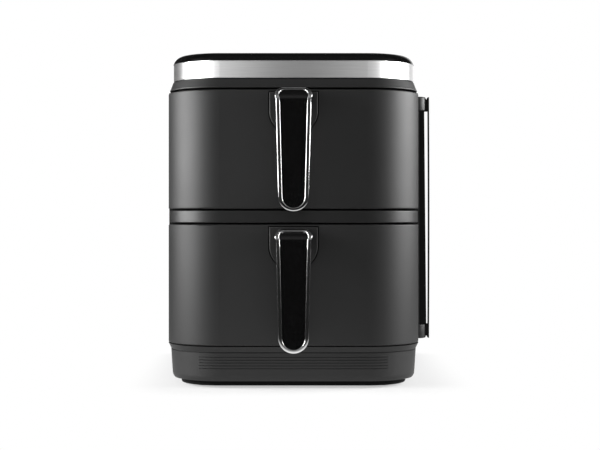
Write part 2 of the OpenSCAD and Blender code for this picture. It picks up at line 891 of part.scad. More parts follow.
// Soft bumpers that hold the plate off the basket's walls.
module plate_bumpers(z0) {
    low = basket_low(z0) + basket_t + plate_lift;
    yc = (basket_back + wrap_y) / 2;
    reach_x = basket_w / 2 - basket_t;
    reach_y = (basket_back - wrap_y) / 2 - basket_t;
    for (side = [-1, 1], y = [-55, 55])
        translate([side * (reach_x - plate_gap / 2), yc + y, low - 2])
            translate([-plate_gap / 2 + 0.4, -bumper_w / 2, 0]) cube([plate_gap - 0.8, bumper_w, 6]);
    for (side = [-1, 1], x = [-60, 60])
        translate([x - bumper_w / 2, yc + side * (reach_y - plate_gap / 2) - plate_gap / 2 + 0.4, low - 2])
            cube([bumper_w, plate_gap - 0.8, 6]);
}

// ---- Handles, hanging from z = 0 with the drawer front at y = 0 ----

// The handle seen from the front, drawn in by inset.
module handle_outline(inset) {
    top_half = handle_top_w / 2 - inset;
    waist_half = handle_waist_w / 2 - inset;
    end_r = handle_end_w / 2 - inset;
    end_z = -handle_len + handle_end_w / 2;
    shoulder_r = handle_corner_r - inset;
    lean = atan((waist_half - end_r) / (-handle_corner_r - end_z));
    end_x = end_r * cos(lean);
    low_z = end_z - end_r * sin(lean);
    translate([0, end_z]) circle(end_r);
    polygon([[-waist_half, -handle_corner_r], [-end_x, low_z],
        [end_x, low_z], [waist_half, -handle_corner_r]]);
    for (x = [-1, 1]) translate([x * (top_half - shoulder_r), -handle_corner_r]) circle(shoulder_r);
    translate([-top_half + shoulder_r, -handle_corner_r])
        square([2 * (top_half - shoulder_r), handle_corner_r - inset]);
}

// The handle seen from the side without the finger space; grow moves its outer face.
module bend_outline(grow) {
    front = -handle_reach - grow;
    back = -handle_reach + bend_r;
    translate([front, -handle_len - 5]) square([-front, handle_len + 5 - bend_r]);
    translate([back, -bend_r - 1]) square([-back, bend_r + 1 + grow]);
    translate([back, -bend_r]) circle(bend_r + grow);
}

// The space behind the grip and under the arm, seen from the side.
module finger_outline() {
    inner_r = 8;
    back = -handle_reach + grip_t;
    translate([back, -handle_len - 6]) square([handle_reach, handle_len + 6 - arm_h - inner_r]);
    translate([back + inner_r, -arm_h - inner_r - 1]) square([handle_reach, inner_r + 1]);
    translate([back + inner_r, -arm_h - inner_r]) circle(inner_r);
}

module handle_core() {
    difference() {
        intersection() {
            towards_front(handle_reach + 5) handle_outline(0);
            union() {
                across(60) bend_outline(-ring_t);
                box([-30, -handle_reach + bend_r, -handle_len], [30, 1, 0]);
            }
        }
        across(80) finger_outline();
        box([-40, -root_proud, -handle_len - 5], [40, 5, 5]);
    }
}

// A layer that follows the grip's face and its bend, as far back as back.
module handle_shell(outer, inner, back) {
    intersection() {
        difference() {
            across(60) bend_outline(outer);
            across(62) bend_outline(inner);
        }
        box([-40, -handle_reach - 1, -handle_len - 5], [40, -handle_reach + back, 5]);
    }
}

module handle_frame() {
    intersection() {
        towards_front(handle_reach + 5) difference() {
            handle_outline(0);
            handle_outline(ring_w);
        }
        handle_shell(0, -ring_t, bend_r);
    }
}

module handle_inlay() {
    intersection() {
        towards_front(handle_reach + 5) handle_outline(ring_w + 0.05);
        handle_shell(-inlay_drop, -ring_t, bend_r - 4);
    }
}

module handle_root(z0, h, handle_z) {
    difference() {
        at_root(z0, h) translate([0, root_sink, 0]) towards_front(root_sink + root_proud) root_outline(0);
        handle_screw_holes(handle_z, 2.2);
    }
}

module handle_screws(handle_z) {
    for (x = [-handle_screw_x, handle_screw_x]) {
        rod_y(x, front_y - 14, front_y + wall, handle_z - handle_screw_drop, 2);
        rod_y(x, front_y + wall, front_y + wall + 2.4, handle_z - handle_screw_drop, 4);
    }
}

module drilled_core(handle_z) {
    difference() {
        translate([0, front_y, handle_z]) handle_core();
        handle_screw_holes(handle_z, 2.1);
    }
}

module at_handle(handle_z) {
    at_case() translate([0, front_y, handle_z]) children();
}

module upper_drawer_front() at_case() color(housing_tint)
    drawer_front(upper_z, upper_front_h, upper_handle_z);
module lower_drawer_front() at_case() color(housing_tint)
    drawer_front(lower_z, lower_front_h, lower_handle_z);
module upper_drawer_back() at_case() color(black_tint) drawer_back(upper_z, upper_front_h);
module lower_drawer_back() at_case() color(black_tint) drawer_back(lower_z, lower_front_h);
module upper_basket() at_case() color(coated_tint) basket(upper_z);
module lower_basket() at_case() color(coated_tint) basket(lower_z);
module upper_crisper_plate() at_case() color(coated_tint) crisper_plate(upper_z);
module lower_crisper_plate() at_case() color(coated_tint) crisper_plate(lower_z);
module upper_plate_bumpers() at_case() color(black_tint) plate_bumpers(upper_z);
module lower_plate_bumpers() at_case() color(black_tint) plate_bumpers(lower_z);
module upper_handle_root() at_case() color(housing_tint)
    handle_root(upper_z, upper_front_h, upper_handle_z);
module lower_handle_root() at_case() color(housing_tint)
    handle_root(lower_z, lower_front_h, lower_handle_z);
module upper_handle_core() at_case() color(black_tint) drilled_core(upper_handle_z);
module lower_handle_core() at_case() color(black_tint) drilled_core(lower_handle_z);
module upper_handle_frame() at_handle(upper_handle_z) color(chrome_tint) handle_frame();
module lower_handle_frame() at_handle(lower_handle_z) color(chrome_tint) handle_frame();
module upper_handle_inlay() at_handle(upper_handle_z) color(gloss_tint) handle_inlay();
module lower_handle_inlay() at_handle(lower_handle_z) color(gloss_tint) handle_inlay();
module upper_handle_screws() at_case() color(steel_tint) handle_screws(upper_handle_z);
module lower_handle_screws() at_case() color(steel_tint) handle_screws(lower_handle_z);

rubber_feet();
undertray();
base_housing();
sill_frame();
left_side_panel();
right_side_panel();
front_bezel();
neck_ring();
top_frame();
steel_band();
top_cap();
control_glass();
control_board();
power_board();
rear_bulkhead();
rear_cover();
rear_cover_screws();
cord_gland();
upper_cavity();
lower_cavity();
upper_fan_guard();
lower_fan_guard();
upper_element();
lower_element();
upper_motor();
lower_motor();
upper_fan();
lower_fan();
upper_motor_shaft();
lower_motor_shaft();
upper_cooling_fan();
lower_cooling_fan();
temperature_sensors();
drawer_sensors();
outlet_grille();
upper_bracket();
lower_bracket();
upper_clip();
lower_clip();
guard_strip();
upper_drawer_front();
lower_drawer_front();
upper_drawer_back();
lower_drawer_back();
upper_basket();
lower_basket();
upper_crisper_plate();
lower_crisper_plate();
upper_plate_bumpers();
lower_plate_bumpers();
upper_handle_root();
lower_handle_root();
upper_handle_core();
lower_handle_core();
upper_handle_frame();
lower_handle_frame();
upper_handle_inlay();
lower_handle_inlay();
upper_handle_screws();
lower_handle_screws();
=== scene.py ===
# %% [markdown]
# # A double-deck air fryer
# The real object is a tall kitchen appliance: a rounded case in satin grey plastic, two drawers one
# above the other, a steel band under a gloss black cap, and a slim outlet guard on its right side. Its
# construction comes ready made, as solids at their real size. This script dresses those solids: it
# paints them, swaps a few for finer meshes, and sets up a small studio round them.

# %% Load the construction
import json
import math

import bmesh
import bpy
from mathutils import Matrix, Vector


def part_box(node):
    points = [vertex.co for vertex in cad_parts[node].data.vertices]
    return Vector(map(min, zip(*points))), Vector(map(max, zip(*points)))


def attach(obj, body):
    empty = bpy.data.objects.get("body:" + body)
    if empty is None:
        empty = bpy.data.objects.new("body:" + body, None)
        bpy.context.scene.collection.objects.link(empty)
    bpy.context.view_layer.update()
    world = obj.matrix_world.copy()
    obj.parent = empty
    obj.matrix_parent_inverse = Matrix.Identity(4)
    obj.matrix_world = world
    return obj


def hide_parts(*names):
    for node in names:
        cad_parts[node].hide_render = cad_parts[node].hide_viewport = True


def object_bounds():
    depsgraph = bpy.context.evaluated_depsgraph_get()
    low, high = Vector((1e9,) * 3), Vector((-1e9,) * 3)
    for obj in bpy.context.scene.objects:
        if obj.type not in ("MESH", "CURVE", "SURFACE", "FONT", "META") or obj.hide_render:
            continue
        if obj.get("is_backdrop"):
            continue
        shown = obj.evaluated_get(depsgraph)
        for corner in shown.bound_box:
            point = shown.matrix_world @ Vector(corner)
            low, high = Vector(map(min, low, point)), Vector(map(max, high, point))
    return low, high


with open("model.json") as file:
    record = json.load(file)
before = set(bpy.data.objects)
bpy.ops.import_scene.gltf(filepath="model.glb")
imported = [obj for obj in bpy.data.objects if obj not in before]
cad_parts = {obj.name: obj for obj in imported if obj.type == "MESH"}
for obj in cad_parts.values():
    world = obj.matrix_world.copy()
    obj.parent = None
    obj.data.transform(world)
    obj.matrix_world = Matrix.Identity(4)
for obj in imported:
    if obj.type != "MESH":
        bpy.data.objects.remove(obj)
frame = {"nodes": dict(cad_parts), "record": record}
cad_low, cad_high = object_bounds()
MM = 0.001
print("construction in mm:", [round(v / MM) for v in cad_high - cad_low])

# %% [markdown]
# Everything else is placed from the solids. A box of a solid gives its lowest and highest corner, so
# the drawer's face, the case's middle, its width and its height are read off here, once.

# %% Read off the main places
front_low, front_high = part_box("upper_drawer_front")
front_y = front_low.y
middle_x = (front_low.x + front_high.x) / 2
case_w = front_high.x - front_low.x
case_h = cad_high.z
print("drawer face at y =", round(front_y / MM, 1), "mm, case", round(case_w / MM), "mm wide")

# %% [markdown]
# ## The camera
# A product picture is taken from far off with a long lens, so that upright edges stay upright. The
# camera looks straight along Y at half the height of the case. A small shift frames the object a little
# left of the middle without turning the camera.

# %% Set up the camera
EYE_HEIGHT = 194.5 * MM
EYE_DISTANCE = 1430 * MM

camera_data = bpy.data.cameras.new("product_camera")
camera_data.sensor_width = 36
camera_data.lens = 76.9
camera_data.shift_x = 0.0108
camera_data.shift_y = -0.0167
camera = bpy.data.objects.new("product_camera", camera_data)
camera.location = (middle_x, front_y - EYE_DISTANCE, EYE_HEIGHT)
camera.rotation_euler = (math.radians(90), 0, 0)
bpy.context.scene.collection.objects.link(camera)
bpy.context.scene.camera = camera
print("camera", round(EYE_DISTANCE, 2), "m in front of the drawers")

# %% [markdown]
# ## Sums with nodes
# A material that varies is a small calculation, and node links are hard to read. This class wraps one
# output of a node. Adding or multiplying two of them adds a Math node, or a Vector Math node where a
# vector takes part. Every other node comes from one method that takes its type, its settings, and the
# values or links of its sockets.

# %% A node output that can be used in sums
class Wire:
    """One output of a node. Python's operators on it add Math or Vector Math nodes."""

    def __init__(self, tree, socket=None):
        self.tree = tree
        self.socket = socket

    def node(self, kind, settings=None, sockets=None, output=0):
        """Adds a node: its type, its settings, then the values or wires of its sockets."""
        made = self.tree.nodes.new(kind)
        for name, value in (settings or {}).items():
            if name == "stops":
                set_stops(made.color_ramp, value)
            else:
                setattr(made, name, value)
        for name, value in (sockets or {}).items():
            if isinstance(value, Wire):
                self.tree.links.new(value.socket, made.inputs[name])
            else:
                made.inputs[name].default_value = value
        return Wire(self.tree, made.outputs[output])

    def is_vector(self):
        return self.socket.type == "VECTOR"

    def sum(self, operation, first, second):
        terms = [first, second]
        if any(isinstance(t, tuple) or isinstance(t, Wire) and t.is_vector() for t in terms):
            terms = [(t, t, t) if isinstance(t, (int, float)) else t for t in terms]
            return self.node("ShaderNodeVectorMath", {"operation": operation}, dict(enumerate(terms)))
        return self.node("ShaderNodeMath", {"operation": operation}, dict(enumerate(terms)))

    def __add__(self, other):
        return self.sum("ADD", self, other)

    def __radd__(self, other):
        return self.sum("ADD", other, self)

    def __sub__(self, other):
        return self.sum("SUBTRACT", self, other)

    def __rsub__(self, other):
        return self.sum("SUBTRACT", other, self)

    def __mul__(self, other):
        return self.sum("MULTIPLY", self, other)

    def __rmul__(self, other):
        return self.sum("MULTIPLY", other, self)

    def rise(self, low, high):
        """0 below low, 1 above high, and a soft slope between them."""
        return self.node("ShaderNodeMapRange", {"interpolation_type": "SMOOTHSTEP"},
                         {"Value": self, "From Min": low, "From Max": high})

    def between(self, dark, light):
        """A colour that goes from dark, where this wire is 0, to light, where it is 1."""
        return self.node("ShaderNodeMix", {"data_type": "RGBA"}, {0: self, 6: dark, 7: light}, output=2)

    def part(self, axis):
        """One part of a vector: X, Y or Z."""
        return self.node("ShaderNodeSeparateXYZ", {}, {0: self}, output=axis)


def set_stops(ramp, stops):
    """Sets a colour ramp from (position, colour) pairs."""
    for spare in list(ramp.elements)[len(stops):]:
        ramp.elements.remove(spare)
    while len(ramp.elements) < len(stops):
        ramp.elements.new(1)
    for element, (position, colour) in zip(ramp.elements, stops):
        element.position = position
        element.color = colour


print("Wire is ready")

# %% [markdown]
# Most finishes start the same way: one Principled shader, and a coordinate to hang the grain on. Object
# coordinates are used, since they need no unwrapping and travel with a drawer when it slides. They are
# turned into millimetres, so that every grain size below reads as a real size. Values that are the same
# all over are set on the shader itself. The solids arrive in plain colours under the same names, so
# those are cleared first.

# %% Start and complete a finish
for plain in list(bpy.data.materials):
    bpy.data.materials.remove(plain)


def grey(level, warmth=0.0):
    """A nearly neutral colour. A little warmth turns it towards red."""
    return (level * (1 + warmth), level, level * (1 - warmth), 1)


def new_finish(name, **fixed):
    """A new material, its shader, and its coordinate in millimetres."""
    material = bpy.data.materials.new(name)
    material.use_nodes = True
    shader = material.node_tree.nodes["Principled BSDF"]
    for socket, value in fixed.items():
        shader.inputs[socket.replace("_", " ")].default_value = value
    place = Wire(material.node_tree).node("ShaderNodeTexCoord", output="Object") * 1000
    return material, shader, place


def paint(shader, **wires):
    """Links wires into the shader's sockets."""
    for socket, wire in wires.items():
        wire.tree.links.new(wire.socket, shader.inputs[socket.replace("_", " ")])


def grain(place, size, detail=2.0, stretch=(1, 1, 1)):
    """Noise with grains of about that size in millimetres, from 0 to 1."""
    sockets = {"Vector": place * stretch, "Scale": 1 / size, "Detail": detail}
    return place.node("ShaderNodeTexNoise", {}, sockets)


def relief(height, depth, strength=1.0):
    """A normal that follows height, with bumps of that depth in millimetres."""
    sockets = {"Height": height, "Distance": depth * MM, "Strength": strength}
    return height.node("ShaderNodeBump", {}, sockets)


print("finishes can be made")

# %% [markdown]
# ## Satin moulded plastic
# The case is injection moulded with a spark-eroded texture: grains of about half a millimetre that
# break up reflections. A noise as bump gives that grain. Slow clouds of the same noise move the
# roughness a little, as handling does, and keep a large plain wall from looking like one flat colour.
# The fixed band between the drawers has a smoother texture than the rest, so its place lowers the
# roughness. The same recipe with other numbers makes the black parts, the handle, the silicone and the
# rubber.

# %% The moulded finishes
BAND_POLISH = 0.12
SOFT_EDGE = 0.5


def moulded(name, tint, rough, grain_size, grain_depth, cloud=0.08, smoother=None, **fixed):
    """A moulded plastic or rubber. It is less rough where smoother, a function of the place, is 1."""
    material, shader, place = new_finish(name, **fixed)
    fine = grain(place, grain_size)
    slow = grain(place, 60, detail=3)
    shade = (fine * 0.3 + slow * 0.7).rise(0.25, 0.75)
    roughness = fine * 0.06 + slow * 0.08 + (rough - 0.07)
    if smoother:
        roughness = roughness - smoother(place) * BAND_POLISH
    paint(shader,
          Base_Color=shade.between(grey(tint * (1 - cloud)), grey(tint * (1 + cloud))),
          Roughness=roughness,
          Normal=relief(fine, grain_depth))
    return material


def on_fixed_band(place):
    """1 on the band between the drawers, 0 elsewhere."""
    low_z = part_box("lower_drawer_front")[1].z / MM
    high_z = front_low.z / MM
    back_y = front_high.y / MM + 1
    height = place.part("Z")
    above_lower = height.rise(low_z, low_z + SOFT_EDGE)
    below_upper = 1 - height.rise(high_z - SOFT_EDGE, high_z)
    return above_lower * below_upper * (1 - place.part("Y").rise(back_y, back_y + SOFT_EDGE))


housing_plastic = moulded("housing_plastic", 0.008, 0.54, 0.5, 0.012, smoother=on_fixed_band)
# rough_plastic is nearly black partly as painted shade: the undertray takes it, made this dark to stand
# for the shadow under the case.
rough_plastic = moulded("rough_plastic", 0.003, 0.68, 0.6, 0.020, Specular_IOR_Level=0.12)
black_plastic = moulded("black_plastic", 0.006, 0.50, 0.4, 0.015)
handle_plastic = moulded("handle_plastic", 0.007, 0.42, 0.35, 0.008)
silicone = moulded("silicone", 0.016, 0.60, 0.8, 0.010, cloud=0.12)
foot_rubber = moulded("foot_rubber", 0.010, 0.78, 0.6, 0.020, cloud=0.15)
print("moulded finishes:", housing_plastic.name, black_plastic.name, handle_plastic.name)

# %% [markdown]
# ## Gloss black and glass
# The cap and the handles' inlays are polished plastic. A polished part still has faint wipe marks:
# long, shallow streaks that only show in the roughness. The inlays are a deeper black than the cap, so
# one finish serves both, and the height over the worktop picks the tint. The touch panel is a sheet of
# dark glass with printed marks under it. The marks here are generic: a row of four small rings and
# three round keys in front of it. They are drawn with distances, so they stay sharp at any size.

# %% Polished finishes
INLAY_TINT = 0.003
CAP_TINT = 0.011
KEYS = ((-44, 12, 3.6), (-24, 12, 3.6), (24, 12, 3.6), (44, 12, 3.6),  # X, Y and radius in mm
        (0, -34, 8), (-80, -34, 6), (80, -34, 6))
PRINT_LINE = 0.7
PRINT_EDGE = 0.25

gloss_black, gloss_shader, gloss_place = new_finish("gloss_black", IOR=1.5)
wipes = grain(gloss_place, 9, detail=3, stretch=(0.3, 1, 1))
dust = grain(gloss_place, 0.7, detail=1).rise(0.68, 0.75)
cap_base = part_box("top_cap")[0].z / MM
on_cap = gloss_place.part("Z").rise(cap_base - 2, cap_base - 1)
paint(gloss_shader,
      Base_Color=dust.between(on_cap.between(grey(INLAY_TINT), grey(CAP_TINT)), grey(0.016)),
      Roughness=wipes * 0.08 + dust * 0.1 + 0.07,
      Normal=relief(wipes, 0.01))


def ring_mark(place, centre, radius, line):
    """A printed ring about a centre, 1 on its line."""
    away = (place - (centre[0], centre[1], 0)) * (1, 1, 0)
    distance = away.node("ShaderNodeVectorMath", {"operation": "LENGTH"}, {0: away}, output=1)
    off = place.node("ShaderNodeMath", {"operation": "ABSOLUTE"}, {0: distance - radius})
    return 1 - off.rise(line / 2, line / 2 + PRINT_EDGE)


glass_low, glass_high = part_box("control_glass")
glass_x = (glass_low.x + glass_high.x) / 2 / MM
glass_y = (glass_low.y + glass_high.y) / 2 / MM
panel_glass, glass_shader, glass_place = new_finish("panel_glass", IOR=1.52)
print_mask = None
for key_x, key_y, key_r in KEYS:
    mark = ring_mark(glass_place, (glass_x + key_x, glass_y + key_y), key_r, PRINT_LINE)
    print_mask = mark if print_mask is None else print_mask + mark
smears = grain(glass_place, 14, detail=3)
paint(glass_shader,
      Base_Color=print_mask.between(grey(0.004), grey(0.45)),
      Roughness=smears * 0.06 + 0.04,
      Normal=relief(smears, 0.004))
print("polished finishes:", gloss_black.name, panel_glass.name)

# %% [markdown]
# ## Metals
# The brush runs along the band, so the streaks are long in X and Y and very
# fine in Z. Sheet steel is never quite flat, so a bump with the height of a large circle bows its front
# a little, and the lamps' reflections spread along it. The plated handle frames are almost a mirror.
# Their undersides are painted lighter, a painted highlight of the bright floor they face. Inside, the
# cavities are plain sheet with a faint crystal pattern, the fans are stamped aluminium, and the heating
# rings have gone brown and blue from heat.

# %% Metal finishes
BOW_R = 600
CRYSTAL = 7

band_steel, steel_shader, steel_place = new_finish(
    "band_steel", Metallic=1.0, Anisotropic=0.35, Anisotropic_Rotation=0.25)
streaks = grain(steel_place, 0.5, detail=3, stretch=(0.012, 0.012, 3))
steel_cloud = grain(steel_place, 40, stretch=(1, 1, 0.3))
across_band = steel_place.part("X") - middle_x / MM
bow = across_band * across_band * (-1 / (2 * BOW_R))
paint(steel_shader,
      Base_Color=streaks.rise(0.3, 0.7).between(grey(0.80), grey(0.95)),
      Roughness=streaks * 0.12 + steel_cloud * 0.05 + 0.27,
      Normal=relief(bow + streaks * 0.006, 1))

chrome_trim, chrome_shader, chrome_place = new_finish("chrome_trim", Metallic=1.0)
chrome_haze = grain(chrome_place, 3, detail=3)
facing = chrome_place.node("ShaderNodeNewGeometry", output="Normal")
# The undersides are painted lighter: a painted highlight of the bright floor below them.
underside_painted_highlight = (facing.part("Z") * -1).rise(0.1, 0.5)
paint(chrome_shader,
      Base_Color=underside_painted_highlight.between(chrome_haze.between(grey(0.52), grey(0.62)), grey(0.90)),
      Roughness=chrome_haze * 0.05 + 0.10,
      Normal=relief(grain(chrome_place, 6), 0.01))

sheet_steel, sheet_shader, sheet_place = new_finish("sheet_steel", Metallic=1.0)
crystals = sheet_place.node(
    "ShaderNodeTexVoronoi", {}, {"Vector": sheet_place, "Scale": 1 / CRYSTAL}, output="Color")
crystal = crystals.part("X")
paint(sheet_shader,
      Base_Color=crystal.between(grey(0.42, 0.01), grey(0.56, 0.01)),
      Roughness=crystal * 0.12 + grain(sheet_place, 1.2) * 0.1 + 0.26,
      Normal=relief(grain(sheet_place, 2.5), 0.02))

fan_aluminium, fan_shader, fan_place = new_finish("fan_aluminium", Metallic=1.0)
rolled = grain(fan_place, 0.8, detail=2, stretch=(0.05, 1, 1))
paint(fan_shader,
      Base_Color=rolled.between(grey(0.55), grey(0.68)),
      Roughness=rolled * 0.15 + 0.25,
      Normal=relief(rolled, 0.01))

element_sheath, sheath_shader, sheath_place = new_finish("element_sheath", Metallic=0.7)
heat = grain(sheath_place, 18, detail=3)
tempers = ((0.30, (0.030, 0.026, 0.022, 1)),
           (0.50, (0.075, 0.050, 0.034, 1)),
           (0.70, (0.050, 0.055, 0.075, 1)))
heat_colour = heat.node("ShaderNodeValToRGB", {"stops": tempers}, {"Fac": heat})
paint(sheath_shader,
      Base_Color=heat_colour,
      Roughness=grain(sheath_place, 0.6) * 0.2 + 0.42,
      Normal=relief(grain(sheath_place, 0.5), 0.02))
print("metals:", band_steel.name, chrome_trim.name, sheet_steel.name, fan_aluminium.name)

# %% [markdown]
# ## Non-stick coating and circuit boards
# The baskets and crisper plates are steel under a sprayed coating, which dries into a fine orange-peel
# surface with small grey flecks. A board is green lacquer over copper tracks. Its components stand
# above it, so the height over the board decides where the lacquer ends.

# %% Coating and board
BOARD_T = 1.7
BETWEEN_BOARDS = 200
COMPONENT = 24

non_stick, coat_shader, coat_place = new_finish("non_stick")
peel = grain(coat_place, 1.6)
flecks = grain(coat_place, 0.55, detail=1).rise(0.66, 0.72)
paint(coat_shader,
      Base_Color=flecks.between(grey(0.017), grey(0.085)),
      Roughness=peel * 0.18 + 0.30,
      Normal=relief(peel, 0.04))

circuit_board, board_shader, board_place = new_finish("circuit_board")
tracks = board_place.node("ShaderNodeTexBrick", {"offset": 0.37}, {
    "Vector": board_place, "Scale": 0.12, "Mortar Size": 0.05, "Mortar Smooth": 0.2,
    "Color1": grey(0), "Color2": grey(0), "Mortar": grey(1)})
lacquer = tracks.part("X").between((0.006, 0.060, 0.022, 1), (0.020, 0.150, 0.060, 1))
board_height = board_place.part("Z")
low_board_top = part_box("power_board")[0].z / MM + BOARD_T
high_board_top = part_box("control_board")[0].z / MM + BOARD_T
is_high_board = board_height.rise(BETWEEN_BOARDS, BETWEEN_BOARDS + 1)
over_low = (board_height - low_board_top).rise(0, 0.3)
over_high = (board_height - high_board_top).rise(0, 0.3)
on_board = over_low * (1 - is_high_board) + over_high * is_high_board
cells = board_place.node(
    "ShaderNodeTexVoronoi", {}, {"Vector": board_place, "Scale": 1 / COMPONENT}, output="Color")
paint(board_shader,
      Base_Color=on_board.between(lacquer, cells.part("X").between(grey(0.012), grey(0.20, 0.1))),
      Roughness=on_board * 0.25 + grain(board_place, 2) * 0.1 + 0.22,
      Normal=relief(tracks.part("X"), 0.03))
print("coating and board ready")

# %% [markdown]
# ## Handing the finishes out
# The record lists every solid with the finish it takes, under a slot's name. Each material above has a
# slot's name too, so one loop dresses every solid.

# %% Dress every solid
for subpart in frame["record"]["subparts"]:
    dressed = frame["nodes"][subpart["node"]]
    for material_slot in dressed.material_slots:
        material_slot.material = bpy.data.materials[subpart["material_slot"]]

# %% [markdown]
# ## Turning lists of rings into meshes
# Most pieces of this object are long shapes with one section: a frame round a handle, a wall round a
# basket. Such a piece can be made with a curve and a bevel, but a plain list of rings gives full
# control and clean quads. Each ring holds the same number of points, and neighbouring rings are joined
# by quads. Two filled ends close a skin.

# %% A mesh from rings
def add_piece(name, points, faces, material, body, slot, stands_for=(), sharp=35):
    """A new mesh piece. It rides on a body and takes the place of the solids it stands for."""
    mesh = bpy.data.meshes.new(name)
    mesh.from_pydata([tuple(p) for p in points], [], faces)
    mesh.validate()
    mesh.materials.append(material)
    mesh.shade_smooth()
    mesh.set_sharp_from_angle(angle=math.radians(sharp))
    piece = bpy.data.objects.new(name, mesh)
    bpy.context.scene.collection.objects.link(piece)
    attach(piece, body)
    if stands_for:
        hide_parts(*stands_for)
    print(name, len(faces), "faces")
    return piece


def skin(rings, closed_rings=True, closed_path=False):
    """Points and quads that join each ring to the next."""
    count = len(rings[0])
    points = [p for ring in rings for p in ring]
    faces = []
    for r in range(len(rings) if closed_path else len(rings) - 1):
        here, there = r * count, (r + 1) % len(rings) * count
        for k in range(count if closed_rings else count - 1):
            k2 = (k + 1) % count
            faces.append((here + k, here + k2, there + k2, there + k))
    return points, faces


def capped(rings, turned=False):
    """A skin whose first and last rings are filled. Turned swaps the sides of those two faces."""
    points, faces = skin(rings)
    first = list(range(len(rings[0])))
    last = [k + len(points) - len(first) for k in first]
    ends = (first, last[::-1]) if turned else (first[::-1], last)
    return points, faces + [tuple(end) for end in ends]


def arc(centre, radius, start, end, steps=6):
    """Points along an arc in a plane, with angles in degrees. Six steps do for a small edge."""
    angles = [math.radians(start + (end - start) * k / steps) for k in range(steps + 1)]
    return [(centre[0] + radius * math.cos(a), centre[1] + radius * math.sin(a)) for a in angles]


print("rings can be skinned")

# %% [markdown]
# ## The plated handle frames
# A narrow plated frame runs round each handle's face and over its bend. Its section has a flat face
# between two small rounded edges. That is what makes it read as metal: one edge mirrors the left lamp
# as a thin bright line, the other the right lamp, and the flat face between them mirrors the dark side
# of the room. A curve with a bevel would twist over the bend. So the section is swept along the
# handle's outline, and each point is then wrapped over the bend, where the frame is seen foreshortened.
# Round the lower end the face also rolls back towards its outer edge, so that it mirrors the bright
# floor.

# %% Build the handle frames
BEND_R = 13 * MM
CORNER_R = 9 * MM
WAIST_W = 38.4 * MM
END_W = 33 * MM
FRAME_W = 4.3 * MM
FRAME_T = 4.5 * MM
EDGE_R = 0.75 * MM
ROLL = 1.5 * MM
ROLL_POWER = 4
TOP_SHARE = 0.6
SHOULDER_SHARE = 0.65
SIDE_STEPS = 10
FACE_STEPS = 6


def drop_to_end(low, high):
    """How far below the handle's top the centre of its round end lies."""
    return high.z - low.z - END_W / 2


def handle_outline(low, high, inset):
    """The handle's outline seen from the front, drawn in by inset, as (x, drop) points."""
    half = (high.x - low.x) / 2 - inset
    shoulder = CORNER_R - inset * SHOULDER_SHARE
    waist = WAIST_W / 2 - inset
    end_r = END_W / 2 - inset
    end_drop = drop_to_end(low, high)
    lean = math.atan((waist - end_r) / (end_drop - CORNER_R))
    run_in = (half - shoulder, -inset * TOP_SHARE - shoulder)
    meet = math.degrees(math.acos(min(1, (waist - run_in[0]) / shoulder)))
    right = arc(run_in, shoulder, 90, -meet, steps=16)
    (x0, d0), (x1, d1) = right[-1], (end_r * math.cos(lean), -end_drop - end_r * math.sin(lean))
    side = [(x0 + (x1 - x0) * k / SIDE_STEPS, d0 + (d1 - d0) * k / SIDE_STEPS)
            for k in range(1, SIDE_STEPS)]
    tip = arc((0, -end_drop), end_r, -math.degrees(lean), -180 + math.degrees(lean), steps=48)
    left = [(-x, drop) for x, drop in reversed(right + side)]
    return right + side + tip + left


def on_bend(x, drop, depth, high, front):
    """Wraps a point of the flat outline over the bend, at a depth below the face."""
    if drop <= -BEND_R:
        return (middle_x + x, front + depth, high.z + drop)
    rise = (drop + BEND_R) / BEND_R
    back = math.sqrt(max(0, 1 - rise * rise))
    reach = BEND_R - depth
    return (middle_x + x, front + BEND_R - reach * back, high.z - BEND_R + reach * rise)


def tip_share(drop, low, high):
    """0 above the handle's round end, rising to 1 at its lowest point."""
    return max(0, -drop - drop_to_end(low, high)) / (END_W / 2)


section = [(0, FRAME_T)] + arc((EDGE_R, EDGE_R), EDGE_R, 180, 270)
section += [(FRAME_W * k / FACE_STEPS, 0) for k in range(2, FACE_STEPS)]
section += arc((FRAME_W - EDGE_R, EDGE_R), EDGE_R, 270, 360) + [(FRAME_W, FRAME_T)]
for deck in ("upper", "lower"):
    low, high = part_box(deck + "_handle_frame")
    rings = []
    for inset, depth in section:
        fall = ROLL * (1 - inset / FRAME_W) ** ROLL_POWER if depth < FRAME_T else 0
        rings.append([on_bend(x, drop, depth + fall * tip_share(drop, low, high), high, low.y)
                      for x, drop in handle_outline(low, high, inset)])
    add_piece(deck + "_plated_frame", *skin(rings, closed_path=True), chrome_trim, deck + "_drawer",
              "chrome_trim", [deck + "_handle_frame"])

# %% [markdown]
# The glossy inlay fills the frame, a little lower than it. A filled face that follows a bend is easiest
# as rows: at each height the outline gives the half width, and each row is split into the same number
# of steps. The rows crowd together towards both ends, where the outline turns.

# %% Build the inlays
def half_width(outline, drop):
    """Half the width of an outline at a drop, by looking between its points."""
    side = [p for p in outline if p[0] >= 0]
    for (x0, d0), (x1, d1) in zip(side, side[1:]):
        if d1 <= drop <= d0:
            return x0 + (x1 - x0) * (drop - d0) / (d1 - d0) if d1 != d0 else max(x0, x1)
    return 0


INLAY_DROP = 0.9 * MM
INLAY_ROWS = 90
INLAY_STEPS = 14
LEAST_HALF = 0.05 * MM
for deck in ("upper", "lower"):
    low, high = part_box(deck + "_handle_frame")
    edge = handle_outline(low, high, FRAME_W)
    top, bottom = max(d for x, d in edge), min(d for x, d in edge)
    rings = []
    for row in range(INLAY_ROWS + 1):
        drop = top + (bottom - top) * (0.5 - 0.5 * math.cos(math.pi * row / INLAY_ROWS))
        half = max(half_width(edge, drop), LEAST_HALF)
        rings.append([on_bend(half * (2 * k / INLAY_STEPS - 1), drop, INLAY_DROP, high, low.y)
                      for k in range(INLAY_STEPS + 1)])
    add_piece(deck + "_glossy_inlay", *skin(rings, closed_rings=False), gloss_black, deck + "_drawer",
              "gloss_black", [deck + "_handle_inlay"])

